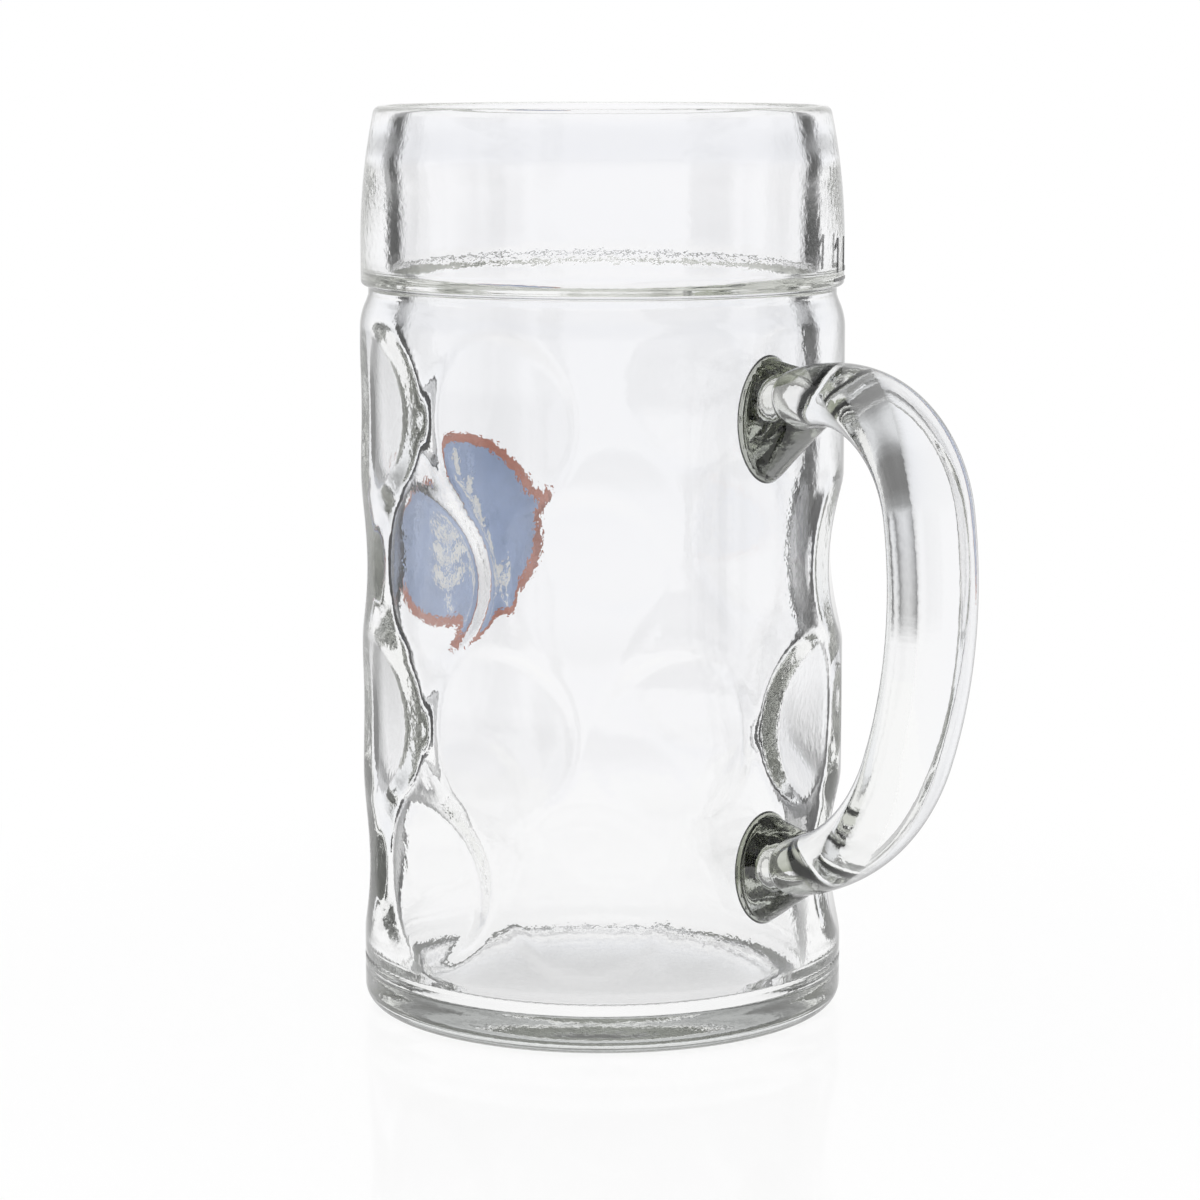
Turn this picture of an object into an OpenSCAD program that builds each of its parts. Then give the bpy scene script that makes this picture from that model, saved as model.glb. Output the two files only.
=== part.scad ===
// Dimpled glass beer mug: a blown jar with rows of pressed hollows, a bow handle
// carried on two roots, and fired enamel marks.
// Millimetres, +Z up, handle towards +X, origin on the jar's axis at the foot.

/* [Jar] */
// Height from the foot to the rim
jar_h = 200; // [170:1:230]
// Radius of the body over the ridges between its hollows
body_r = 53.5; // [46:0.5:62]
// Thickness of the wall
wall_t = 7.3; // [5:0.1:8.5]
// Thickness of the floor
floor_t = 6.5; // [5:0.5:12]
// Rounding between the floor and the wall inside
floor_fillet_r = 5; // [3:0.5:8]
// Rounding of the heel
heel_r = 4.5; // [2:0.5:7]
// Width of the ring that the jar stands on
foot_ring_w = 8; // [4:0.5:12]
// Rise of the hollow under the floor
push_up = 3; // [1:0.5:5]

/* [Drinking band] */
// Height of the plain band below the rim
band_h = 39; // [30:1:48]
// Height of the band's straight foot, up to its widest ring
band_foot_h = 9; // [4:0.5:14]
// How far the band lies inside the body's ridges
band_inset = 0.3; // [0:0.1:1.5]
// Thickness of the band's wall at its foot
band_wall_t = 5.5; // [4:0.1:6.5]
// Height over which the inside widens from the neck to the band
band_step_h = 6; // [3:0.5:9]
// How far the band draws in from its widest ring to the lip
band_draw_in = 2.9; // [1:0.1:5]
// Rounding of the band's lower edge
band_edge_r = 1; // [0.4:0.1:2]
// Radius of the rounded lip
lip_r = 1.9; // [1.2:0.1:2.4]
// Depth of the groove below the band
groove_depth = 1.9; // [0.8:0.1:3]
// Height of the groove below the band
groove_h = 2.5; // [1:0.1:5]
// Height over which the shoulder draws in to the groove
shoulder_h = 7; // [4:0.5:12]

/* [Hollows] */
// Hollows around the jar in one full row
hollow_count = 8; // [6:1:9]
// Rows of hollows
hollow_rows = 4; // [2:1:4]
// Height of the middle of the lowest row
first_row_z = 34; // [30:0.5:42]
// Distance between the middles of two rows
row_pitch = 33.4; // [28:0.1:36]
// Height of one hollow
hollow_h = 35.5; // [24:0.5:38]
// Depth of one hollow
hollow_depth = 3; // [1.5:0.05:3.5]

/* [Handle] */
// Distance that the bow's ends stand off the body
root_len = 12; // [8:0.5:18]
// Height of the upper root on the wall
upper_root_z = 135; // [125:0.5:145]
// Height of the lower root on the wall
lower_root_z = 38.5; // [32:0.5:50]
// Height of the bow's upper end
upper_end_z = 140.3; // [130:0.1:150]
// Height of the bow's lower end
lower_end_z = 41.2; // [35:0.1:55]
// Upward slope of the bow at its upper end, in degrees
upper_rise = 18; // [5:1:30]
// Upward slope of the bow at its lower end, in degrees
lower_rise = 14; // [5:1:25]
// Radius of the bow's upper bend
upper_bend_r = 27; // [20:0.5:32]
// Radius of the bow's long back
back_r = 99.5; // [80:0.5:130]
// Radius of the bow's lower bend
lower_bend_r = 43; // [32:0.5:50]
// Width of the grip across the hand
grip_w = 22.2; // [18:0.2:28]
// Thickness of the grip
grip_t = 13.3; // [11:0.1:17]
// Fullness of the grip's oval: 2 is an ellipse, more is squarer
grip_fullness = 2.2; // [2:0.1:3]
// Rounding of the bow's edge at each end, which leaves a crease against the root
bow_edge_r = 1.2; // [0.6:0.1:2]
// Width of a root on the wall
root_w = 19.5; // [15:0.5:25]
// Height of a root on the wall
root_h = 25.5; // [20:0.5:30]
// Spread of a root's flare around its foot
flare = 1.5; // [1:0.1:4]

/* [Enamel] */
// Thickness of the fired enamel
enamel_t = 0.15; // [0.1:0.05:0.3]
// Diameter of the round badge opposite the handle
badge_d = 46; // [36:1:50]
// Height of the badge's middle
badge_z = 101.5; // [95:0.5:108]
// Width of the badge's coloured rim
badge_rim_w = 2.4; // [1.5:0.1:4]
// Length of one barley grain
grain_len = 8.4; // [6:0.1:9]
// Width of one barley grain
grain_w = 2.8; // [2:0.1:3]
// Least length of bare stalk below the grains
stalk_len = 5; // [3:0.5:7]
// Width of the stalk
stalk_w = 0.9; // [0.6:0.1:1.4]
// Field that shows between one barley shape and the next
grain_gap = 0.4; // [0.2:0.1:0.6]
// Field that shows between the barley ear and the rim
ear_clear = 1.1; // [0.6:0.1:2]
// Height of the litre line over the foot of the band
fill_rise = 1.5; // [1:0.1:7]
// Length of the litre line around the band
fill_line_w = 14; // [8:1:20]
// Thickness of the litre line's stroke
fill_stroke = 0.7; // [0.4:0.1:1.2]
// Angle of the litre line round from the handle, in degrees
fill_angle = 36; // [25:1:60]

/* [Hidden] */
$fn = 96;

// Overshoot of a cut past the face that it opens
over = 1;
// Thickness of the slices that a root is drawn between
slice = 0.1;
// Sides of a root's round slices
root_fn = 48;
// Plain wall kept between a root and the nearest hollow
hollow_clear = 3;
// Lean of the barley grains from the stalk, in degrees
grain_lean = 32;
// Sides of the grip's oval, degrees of turn between two of its rings, and rings of its rounded ends
grip_sides = 32;
grip_turn = 4;
edge_steps = 3;

glass = [0.86, 0.91, 0.90, 0.45];
root_glass = [0.50, 0.53, 0.49, 0.70];
rim_red = [0.72, 0.33, 0.20];
field_blue = [0.38, 0.46, 0.66];
ear_white = [0.94, 0.94, 0.92];
mark_black = [0.10, 0.10, 0.11];

cavity_r = body_r - wall_t;
band_r = body_r - band_inset;
band_cavity_r = band_r - band_wall_t;
band_z = jar_h - band_h;
band_mid_z = band_z + band_foot_h;
lip_z = jar_h - lip_r;
lip_out_r = band_r - band_draw_in;
lip_in_r = lip_out_r - 2 * lip_r;
groove_r = body_r - groove_depth;
neck_r = groove_r - wall_t;
shoulder_z = band_z - groove_h - shoulder_h;
fill_z = band_z + fill_rise;
foot_in_r = body_r - heel_r - foot_ring_w;

// Radius of the arc that rises by sag over half a chord
function arc_r(half_chord, sag) = (half_chord * half_chord + sag * sag) / (2 * sag);

band_arc_r = arc_r(lip_z - band_mid_z, band_draw_in);
shoulder_r = arc_r(shoulder_h, groove_depth);
push_up_r = arc_r(foot_in_r, push_up);

// A hollow is flat across the wall and round along its height
press_r = arc_r(hollow_h / 2, hollow_depth);
press_tip = body_r - hollow_depth;
column_pitch = 360 / hollow_count;
mm_per_degree = body_r * PI / 180;

// Angle from 0 to 180 degrees between two directions
function apart(a, b) = abs((a - b + 540) % 360 - 180);
// Distance along the wall between two angles and over a rise
function along_wall(a, b, rise) = norm([apart(a, b) * mm_per_degree, rise]);
// No hollow is pressed where it would reach a root or the badge
root_reach = root_h / 2 + flare + hollow_clear + hollow_h / 2;
badge_reach = badge_d / 2 + hollow_h / 2;
function plain(at, z) =
    along_wall(at, 0, z - upper_root_z) < root_reach
    || along_wall(at, 0, z - lower_root_z) < root_reach
    || along_wall(at, 180, z - badge_z) < badge_reach;

// Angle and height of each hollow: rows are staggered by half a column
hollows = [
    for (row = [0 : hollow_rows - 1])
        for (column = [0 : hollow_count - 1])
            let (at = (column + (row % 2) / 2) * column_pitch)
                let (z = first_row_z + row * row_pitch)
                    if (!plain(at, z)) [at, z]
];

// The bow is three arcs in the plane of the handle, each tangent to the next
end_x = body_r + root_len;
upper_end = [end_x, upper_end_z];
lower_end = [end_x, lower_end_z];
upper_bend = upper_end + upper_bend_r * [sin(upper_rise), -cos(upper_rise)];
lower_bend = lower_end + lower_bend_r * [-sin(lower_rise), cos(lower_rise)];
back = circles_meet(upper_bend, back_r - upper_bend_r, lower_bend, back_r - lower_bend_r);
upper_turn = heading(upper_bend - back);
lower_turn = heading(lower_bend - back);

function heading(v) = atan2(v[1], v[0]);
// The point on the jar's side that lies ra from a and rb from b
function circles_meet(a, ra, b, rb) =
    let (d = norm(b - a))
        let (u = (b - a) / d)
            let (along = (d * d + ra * ra - rb * rb) / (2 * d))
                a + along * u + sqrt(ra * ra - along * along) * [u[1], -u[0]];

// Degrees that a length along an arc turns through
function turn_of(along, r) = along / r * 180 / PI;
upper_start = 90 + upper_rise;
lower_start = lower_rise - 90;
upper_edge = upper_start - turn_of(bow_edge_r, upper_bend_r);
lower_edge = lower_start + turn_of(bow_edge_r, lower_bend_r);

// Arcs of the bow between its rounded ends, from the upper one: middle, radius, first and last angle
bow_arcs = [
    [upper_bend, upper_bend_r, upper_edge, upper_turn],
    [back, back_r, upper_turn, lower_turn],
    [lower_bend, lower_bend_r, lower_turn, lower_edge]
];

// Middle, outward angle and inset of the ring that stands at an angle on an arc
function bow_ring(middle, r, a, inset) = [middle + r * [cos(a), sin(a)], a, inset];
// Inset of the rounded edge, and its distance from the bow's end, part of a quarter round on
function edge_inset(part) = bow_edge_r * (1 - sin(90 * part));
function edge_along(part) = bow_edge_r * (1 - cos(90 * part));

// Every ring along the bow, with the quarter rounds of its two ends
bow_rings = [
    for (k = [0 : edge_steps - 1])
        let (part = k / edge_steps)
            let (a = upper_start - turn_of(edge_along(part), upper_bend_r))
                bow_ring(upper_bend, upper_bend_r, a, edge_inset(part)),
    for (i = [0 : len(bow_arcs) - 1])
        let (arc = bow_arcs[i])
            let (steps = ceil((arc[2] - arc[3]) / grip_turn))
                for (k = [i == 0 ? 0 : 1 : steps])
                    bow_ring(arc[0], arc[1], arc[2] + (arc[3] - arc[2]) * k / steps, 0),
    for (k = [edge_steps - 1 : -1 : 0])
        let (part = k / edge_steps)
            let (a = lower_start + turn_of(edge_along(part), lower_bend_r))
                bow_ring(lower_bend, lower_bend_r, a, edge_inset(part))
];

function full(c) = sign(c) * pow(abs(c), 2 / grip_fullness);
// Oval of the grip, drawn in by an inset, as points of thickness and width
function grip_oval(inset) = [
    for (k = [0 : grip_sides - 1])
        let (a = 360 * k / grip_sides)
            [(grip_t / 2 - inset) * full(cos(a)), (grip_w / 2 - inset) * full(sin(a))]
];

// Half of the jar's outline, from the foot to the lip
module outer_profile() {
    difference() {
        union() {
            square([body_r - heel_r, heel_r]);
            translate([body_r - heel_r, heel_r]) circle(heel_r);
            translate([0, heel_r]) square([body_r, shoulder_z - heel_r]);
            intersection() {
                translate([body_r - shoulder_r, shoulder_z]) circle(shoulder_r);
                translate([0, shoulder_z]) square([body_r, shoulder_h]);
            }
            translate([0, heel_r]) square([groove_r, band_z + band_edge_r - heel_r]);
            translate([0, band_z]) square([band_r - band_edge_r, band_edge_r]);
            translate([band_r - band_edge_r, band_z + band_edge_r]) circle(band_edge_r);
            translate([0, band_z + band_edge_r]) square([band_r, band_foot_h - band_edge_r]);
            intersection() {
                translate([band_r - band_arc_r, band_mid_z]) circle(band_arc_r);
                translate([0, band_mid_z]) square([band_r, lip_z - band_mid_z]);
            }
            translate([lip_out_r - lip_r, lip_z]) circle(lip_r);
        }
        translate([0, push_up - push_up_r]) circle(push_up_r);
    }
}

// Half of the inside, from the floor past the rim: the floor rises with the hollow under it,
// and the neck draws in with the groove outside
module cavity_profile() {
    difference() {
        union() {
            translate([0, floor_t]) square([cavity_r - floor_fillet_r, floor_fillet_r]);
            translate([cavity_r - floor_fillet_r, floor_t + floor_fillet_r]) circle(floor_fillet_r);
            translate([0, floor_t + floor_fillet_r])
                square([cavity_r, shoulder_z - floor_t - floor_fillet_r]);
            polygon([
                [0, shoulder_z], [cavity_r, shoulder_z],
                [neck_r, band_z - groove_h], [neck_r, band_z],
                [band_cavity_r, band_z + band_step_h], [lip_in_r, lip_z],
                [lip_in_r, jar_h + over], [0, jar_h + over]
            ]);
        }
        translate([0, floor_t + push_up - push_up_r]) circle(push_up_r);
    }
}

module jar_outside() {
    rotate_extrude() outer_profile();
}

// A bar lying across the wall, whose round face comes in to tip from the axis
module press_bar(tip, r, top) {
    half_w = sqrt(top * top - tip * tip);
    rotate([90, 0, 0])
        linear_extrude(2 * half_w + 2 * over, center = true)
            intersection() {
                translate([tip + r, 0]) circle(r);
                translate([tip, -r]) square([top + over - tip, 2 * r]);
            }
}

module at_each_hollow() {
    for (h = hollows)
        rotate(h[0]) translate([0, 0, h[1]]) children();
}

// The wall keeps its thickness: each hollow outside is a bulge inside
module jar() {
    color(glass)
        difference() {
            jar_outside();
            difference() {
                rotate_extrude() cavity_profile();
                at_each_hollow() press_bar(press_tip - wall_t, press_r + wall_t, cavity_r);
            }
            at_each_hollow() press_bar(press_tip, press_r, body_r);
        }
}

// The grip's oval swept along the three arcs
module handle_bow() {
    rings = len(bow_rings);
    points = [
        for (ring = bow_rings)
            for (p = grip_oval(ring[2]))
                [ring[0][0] + p[0] * cos(ring[1]), p[1], ring[0][1] + p[0] * sin(ring[1])]
    ];
    sides = [
        for (i = [0 : rings - 2])
            for (k = [0 : grip_sides - 1])
                let (a = i * grip_sides + k)
                    let (b = i * grip_sides + (k + 1) % grip_sides)
                        for (face = [[a, b, b + grip_sides], [a, b + grip_sides, a + grip_sides]])
                            face
    ];
    upper_cap = [for (k = [grip_sides - 1 : -1 : 0]) k];
    lower_cap = [for (k = [0 : grip_sides - 1]) (rings - 1) * grip_sides + k];
    color(glass) polyhedron(points, concat([upper_cap, lower_cap], sides));
}

// Upright oval slice of a root, at x from the jar's axis
module wall_slice(x, z, spread) {
    translate([x, 0, z])
        rotate([90, 0, 90])
            linear_extrude(slice)
                scale([root_w / 2 + spread, root_h / 2 + spread]) circle(1, $fn = root_fn);
}

// Last slice of a root, whose outer face is the flat of the bow's end
module bow_slice(end, rise) {
    translate([end[0], 0, end[1]])
        rotate([0, -rise, 0])
            rotate([90, 0, 90])
                translate([0, 0, -slice])
                    linear_extrude(slice) rotate(90) polygon(grip_oval(bow_edge_r));
}

// A root flares on to the wall and narrows to the bow
module handle_root(z, end, rise) {
    foot_x = sqrt(pow(body_r, 2) - pow(root_w / 2 + flare, 2)) - slice;
    color(root_glass)
        difference() {
            union() {
                hull() {
                    wall_slice(foot_x, z, flare);
                    wall_slice(body_r + flare / 2, z, 0);
                }
                hull() {
                    wall_slice(body_r + flare / 2, z, 0);
                    bow_slice(end, rise);
                }
            }
            jar_outside();
        }
}

module upper_handle_root() {
    handle_root(upper_root_z, upper_end, upper_rise);
}

module lower_handle_root() {
    handle_root(lower_root_z, lower_end, lower_rise);
}

// A skin of enamel on the plain wall opposite the handle, in the outline that it is given
module wall_print() {
    intersection() {
        difference() {
            cylinder(r = body_r + enamel_t, h = jar_h);
            translate([0, 0, -over]) cylinder(r = body_r, h = jar_h + 2 * over);
        }
        translate([0, 0, badge_z])
            rotate([90, 0, -90])
                linear_extrude(body_r + over) children();
    }
}

// Pointed grain from its root upwards
module grain() {
    flank = arc_r(grain_len / 2, grain_w / 2);
    translate([0, grain_len / 2])
        intersection() {
            translate([grain_w / 2 - flank, 0]) circle(flank);
            translate([flank - grain_w / 2, 0]) circle(flank);
        }
}

// Stalk, a grain at its tip and as many leaning pairs as fit down its sides, none touching another
module barley_ear() {
    ear_h = badge_d - 2 * (badge_rim_w + ear_clear);
    stalk_h = ear_h - grain_gap - grain_len;
    step = (grain_w + grain_gap) / sin(grain_lean);
    pairs = floor((stalk_h - stalk_len) / step);
    root_x = stalk_w / 2 + grain_gap;
    translate([0, -ear_h / 2]) {
        translate([-stalk_w / 2, 0]) square([stalk_w, stalk_h]);
        translate([0, stalk_h + grain_gap]) grain();
        for (i = [1 : pairs])
            for (side = [-1, 1])
                translate([side * root_x, stalk_h - i * step]) rotate(-side * grain_lean) grain();
    }
}

module badge_rim() {
    color(rim_red)
        wall_print()
            difference() {
                circle(badge_d / 2);
                circle(badge_d / 2 - badge_rim_w);
            }
}

module badge_field() {
    color(field_blue)
        wall_print()
            difference() {
                circle(badge_d / 2 - badge_rim_w);
                barley_ear();
            }
}

module badge_barley_ear() {
    color(ear_white)
        wall_print() barley_ear();
}

// Stroke of enamel on the band, level with one litre
module fill_line() {
    color(mark_black)
        rotate(fill_angle)
            difference() {
                intersection() {
                    cylinder(r = band_r + enamel_t, h = jar_h);
                    translate([0, -fill_line_w / 2, fill_z])
                        cube([body_r + over, fill_line_w, fill_stroke]);
                }
                jar_outside();
            }
}

jar();
handle_bow();
upper_handle_root();
lower_handle_root();
badge_rim();
badge_field();
badge_barley_ear();
fill_line();
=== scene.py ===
"""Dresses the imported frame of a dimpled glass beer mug: smooth glass, fired enamel and a white studio."""

import math

import bpy
import numpy as np
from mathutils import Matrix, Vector


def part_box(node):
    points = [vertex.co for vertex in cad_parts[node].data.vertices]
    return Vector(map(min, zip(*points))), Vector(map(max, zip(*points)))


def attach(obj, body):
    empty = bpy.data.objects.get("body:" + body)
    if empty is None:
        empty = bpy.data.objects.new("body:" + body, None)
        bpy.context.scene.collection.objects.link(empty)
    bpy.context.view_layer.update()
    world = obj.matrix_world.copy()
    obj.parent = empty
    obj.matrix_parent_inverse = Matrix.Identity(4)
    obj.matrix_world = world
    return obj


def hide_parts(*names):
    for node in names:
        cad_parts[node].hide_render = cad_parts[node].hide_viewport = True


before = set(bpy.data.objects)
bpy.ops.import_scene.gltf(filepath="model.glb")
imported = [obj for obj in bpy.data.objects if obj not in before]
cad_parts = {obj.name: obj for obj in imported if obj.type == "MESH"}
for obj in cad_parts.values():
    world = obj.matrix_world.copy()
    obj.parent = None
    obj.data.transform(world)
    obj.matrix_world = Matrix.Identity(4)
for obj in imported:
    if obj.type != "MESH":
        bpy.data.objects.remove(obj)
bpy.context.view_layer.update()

bl_info = {
    "name": "Dimpled Glass Mug",
    "version": (1, 0, 0),
    "blender": (4, 5, 0),
    "location": "View3D > Sidebar > Mug",
    "description": "Models a dimpled glass mug, its enamel marks and a white studio",
    "category": "Object",
}

MM = 0.001
TURN = 2 * math.pi
JAR_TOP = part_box("jar")[1].z
JAR_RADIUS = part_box("jar")[1].y


def length(name, description, millimetres):
    """A size that the sidebar shows in the scene's unit of length."""
    return bpy.props.FloatProperty(
        name=name, description=description, default=millimetres * MM, unit="LENGTH", precision=5
    )


def degrees(name, description, value):
    """An angle that the sidebar shows in degrees."""
    return bpy.props.FloatProperty(
        name=name, description=description, default=math.radians(value), subtype="ANGLE"
    )


def tint(name, description, value):
    """A colour without alpha."""
    return bpy.props.FloatVectorProperty(
        name=name, description=description, default=value, size=3, subtype="COLOR", min=0, max=1
    )


def count(name, description, value):
    """A whole number from 1."""
    return bpy.props.IntProperty(name=name, description=description, default=value, min=1)


def amount(name, description, value):
    """A plain number."""
    return bpy.props.FloatProperty(name=name, description=description, default=value)


class JarSizes(bpy.types.PropertyGroup):
    """Sizes of the blown jar."""

    height: length("Height", "From the foot to the rim", JAR_TOP / MM)
    radius: length("Radius", "Over the ridges between the hollows", JAR_RADIUS / MM)
    wall: length("Wall", "Thickness of the wall", 7.3)
    floor: length("Floor", "Thickness of the floor", 6.5)
    floor_fillet: length("Floor fillet", "Rounding between floor and wall inside", 6.5)
    heel: length("Heel", "Rounding of the heel", 4.5)
    foot_ring: length("Foot ring", "Width of the ring that the jar stands on", 8)
    push_up: length("Push-up", "Rise of the hollow under the floor", 3)
    band: length("Band", "Height of the plain drinking band", 39)
    band_foot: length("Band foot", "Straight part of the band", 9)
    band_inset: length("Band inset", "How far the band lies inside the ridges", 0.3)
    band_wall: length("Band wall", "Thickness of the band's wall at its foot", 5.6)
    band_step: length("Band step", "Height over which the inside widens from the neck to the band", 4)
    band_swell: length("Band swell", "How much wider the band is inside below the lip", 0.9)
    band_swell_drop: length("Band swell drop", "Height from the lip down to that width", 12)
    band_draw_in: length("Band draw-in", "How far the band draws in to the lip", 2.9)
    band_edge: length("Band edge", "Rounding of the band's lower edge", 1)
    lip: length("Lip", "Radius of the rounded lip", 1.9)
    groove_depth: length("Groove depth", "Depth of the groove below the band", 1.9)
    groove_height: length("Groove height", "Height of the groove below the band", 2.5)
    groove_corner: length("Groove corner", "Rounding of the groove's two corners", 0.6)
    shoulder: length("Shoulder", "Height over which the shoulder draws in", 7)
    mould_line: length("Mould line", "Height of the line where the mould's base met its sides", 9)
    mould_line_depth: length("Mould line depth", "Depth of that line", 0.12)
    mould_line_half: length("Mould line half", "Half of that line's height", 0.5)
    dots: length("Dots", "Height of the ring of dots over that line", 2.4)
    dot_depth: length("Dot depth", "Depth of one dot", 0.5)
    dot_half: length("Dot half", "Half of a dot's height", 0.6)


class HollowSizes(bpy.types.PropertyGroup):
    """Sizes of the pressed hollows."""

    columns: count("Columns", "Hollows in a full row", 8)
    rows: count("Rows", "Rows of hollows", 4)
    first_row: length("First row", "Height of the lowest row's middle", 34)
    row_pitch: length("Row pitch", "Between the middles of two rows", 33.4)
    height: length("Height", "Height of one hollow", 35.5)
    depth: length("Depth", "Depth of one hollow", 3)
    rim_blend: length("Rim blend", "Softness of a hollow's rim, as a depth", 0.32)
    root_reach: length("Root reach", "From a root's middle to the middle of the nearest hollow", 35)


class HandleSizes(bpy.types.PropertyGroup):
    """Sizes of the bow and its two roots."""

    root_length: length("Root length", "How far the bow's ends stand off the body", 12)
    upper_root: length("Upper root", "Height of the upper root on the wall", 135)
    lower_root: length("Lower root", "Height of the lower root on the wall", 38.5)
    upper_end: length("Upper end", "Height of the bow's upper end", 140.3)
    lower_end: length("Lower end", "Height of the bow's lower end", 41.2)
    upper_rise: degrees("Upper rise", "Upward slope at the upper end", 18)
    lower_rise: degrees("Lower rise", "Upward slope at the lower end", 14)
    upper_bend: length("Upper bend", "Radius of the upper bend", 27)
    back: length("Back", "Radius of the long back", 99.5)
    lower_bend: length("Lower bend", "Radius of the lower bend", 43)
    grip_width: length("Grip width", "Width of the grip across the hand", 22.2)
    grip_thickness: length("Grip thickness", "Thickness of the grip", 13.3)
    grip_fullness: amount("Grip fullness", "2 is an ellipse, more is squarer", 2.2)
    grip_ease: length("Grip ease", "How far the smooth grip lies inside the CAD's facets", 0.05)
    bow_edge: length("Bow edge", "Rounding of the bow's ends, which leaves a crease at the roots", 0.8)
    root_width: length("Root width", "Width of a root at its waist", 15.4)
    upper_root_height: length("Upper root height", "Height of the upper root at its waist", 25.4)
    lower_root_height: length("Lower root height", "Height of the lower root at its waist", 22.8)
    flare: length("Flare", "Spread of a root on the wall", 0.9)
    flare_height: length("Flare height", "Height over which a root spreads on the wall", 1.4)
    lap: length("Lap", "How far fused pieces of glass reach into each other", 0.08)
    seat_margin: length("Seat margin", "How far the fused part of the wall ends inside a root's edge", 0.4)


class MarkSizes(bpy.types.PropertyGroup):
    """Sizes of the enamel marks."""

    lift: length("Lift", "Gap that keeps the enamel's facets off the glass", 0.05)
    thickness: length("Thickness", "How far the litre figures stand on the glass", 0.13)
    figure_height: length("Figure height", "Height of the litre figures", 7.5)
    figure_rise: length("Figure rise", "From the litre line up to its figures", 1.2)
    angle: degrees("Angle", "Angle of the litre mark round from the handle", 36)


class MugLook(bpy.types.PropertyGroup):
    """Colours and finishes."""

    glass_tint: tint("Glass", "Tint of the clear glass", (0.985, 0.985, 0.99))
    root_tint: tint("Root glass", "Tint of the thick glass at the roots", (0.93, 0.93, 0.92))
    glass_ior: amount("Glass IOR", "Refractive index of soda-lime glass", 1.52)
    absorbed: tint("Absorbed", "What long paths in the glass lose least", (0.81, 0.82, 0.78))
    # Painted shade: the near-black colour that the glass takes at grazing angles, which darkens its edges
    painted_edge_shade: tint("Edge tint", "What grazing light keeps of its colour", (0.0008, 0.0009, 0.0008))
    clear_density: amount("Clear density", "Absorption of the clear glass, per metre", 10)
    root_density: amount("Root density", "Absorption of the root glass, per metre", 30)
    red: tint("Red enamel", "Rim of the badge", (0.47, 0.18, 0.12))
    blue: tint("Blue enamel", "Field of the badge", (0.37, 0.46, 0.66))
    white: tint("White enamel", "Barley ear of the badge", (0.80, 0.80, 0.78))
    black: tint("Black enamel", "Litre mark", (0.012, 0.012, 0.014))
    table: tint("Table", "Pale table", (0.95, 0.95, 0.95))


class StudioSetup(bpy.types.PropertyGroup):
    """Camera and surroundings."""

    camera_turn: degrees("Camera turn", "Camera's angle from the handle's plane", -41)
    camera_distance: length("Camera distance", "From the jar's axis, level", 816.98)
    camera_height: length("Camera height", "Over the table", 212.91)
    camera_shift: length("Camera shift", "Camera's place left of the line to the axis", 0.55)
    camera_dip: degrees("Camera dip", "Downward tilt of the camera", 8.523)
    focal_length: amount("Focal length", "In millimetres on a sensor 36 mm wide", 111.03)
    floor_radius: length("Floor radius", "Radius of the pale table", 260)
    floor_gap: length("Floor gap", "How far the table lies below the mug's foot", 0.2)
    table_white: amount("Table white", "Share of plain white that the table shows by the mug", 0.80)
    backdrop_turn: degrees("Backdrop turn", "Angle of the white backdrop from the handle's plane", 139)
    bounces: count("Bounces", "Turns of light that glass may take", 24)


class MugSettings(bpy.types.PropertyGroup):
    """All the settings of the mug."""

    jar: bpy.props.PointerProperty(type=JarSizes)
    hollow: bpy.props.PointerProperty(type=HollowSizes)
    handle: bpy.props.PointerProperty(type=HandleSizes)
    mark: bpy.props.PointerProperty(type=MarkSizes)
    look: bpy.props.PointerProperty(type=MugLook)
    studio: bpy.props.PointerProperty(type=StudioSetup)


# Shared shapes

def arc_radius(half_chord, sag):
    """Radius of the arc that rises by sag over half its chord."""
    return (half_chord * half_chord + sag * sag) / (2 * sag)


def arc(centre, radius, start, end, steps):
    """Points on an arc after its start, up to and with its end, angles in degrees."""
    points = []
    for i in range(1, steps + 1):
        angle = math.radians(start + (end - start) * i / steps)
        points.append((centre[0] + radius * math.cos(angle), centre[1] + radius * math.sin(angle)))
    return points


def curved(start, end, steps, bend):
    """Points after start, up to and with end, whose radius follows a bend of the share of the way."""
    points = []
    for i in range(1, steps + 1):
        s = i / steps
        points.append((start[0] + (end[0] - start[0]) * bend(s), start[1] + (end[1] - start[1]) * s))
    return points


def straight(start, end, step):
    """Evenly spaced points after start, up to and with end."""
    return curved(start, end, max(1, round(math.dist(start, end) / step)), lambda s: s)


def eased(s):
    """Slow at both ends."""
    return s * s * (3 - 2 * s)


def drawn_in(s):
    """Faster and faster."""
    return s * s


def smooth_least(a, b, blend):
    """The lower of two surfaces, with the ridge between them rounded."""
    near = np.maximum(blend - np.abs(a - b), 0) / blend
    return np.minimum(a, b) - near * near * blend / 4


def start_piece(name):
    """Names the object that was just added."""
    piece = bpy.context.object
    piece.name = name
    piece.data.name = name
    return piece


def deselect_all():
    """Back to object mode with nothing selected."""
    if bpy.context.object and bpy.context.object.mode != "OBJECT":
        bpy.ops.object.mode_set(mode="OBJECT")
    bpy.ops.object.select_all(action="DESELECT")


def edit_all():
    """Into edit mode with the whole mesh selected."""
    bpy.ops.object.mode_set(mode="EDIT")
    bpy.ops.mesh.select_all(action="SELECT")


def close_skin(threshold):
    """Merges points, turns all faces outwards and leaves edit mode."""
    bpy.ops.mesh.select_all(action="SELECT")
    bpy.ops.mesh.remove_doubles(threshold=threshold)
    bpy.ops.mesh.normals_make_consistent(inside=False)
    bpy.ops.object.mode_set(mode="OBJECT")


def read_points(piece):
    """A mesh's points as rows of x, y and z."""
    points = np.empty(len(piece.data.vertices) * 3)
    piece.data.vertices.foreach_get("co", points)
    return points.reshape(-1, 3)


def write_points(piece, points):
    """Moves a mesh's points to these rows of x, y and z."""
    piece.data.vertices.foreach_set("co", points.ravel())
    piece.data.update()


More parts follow.
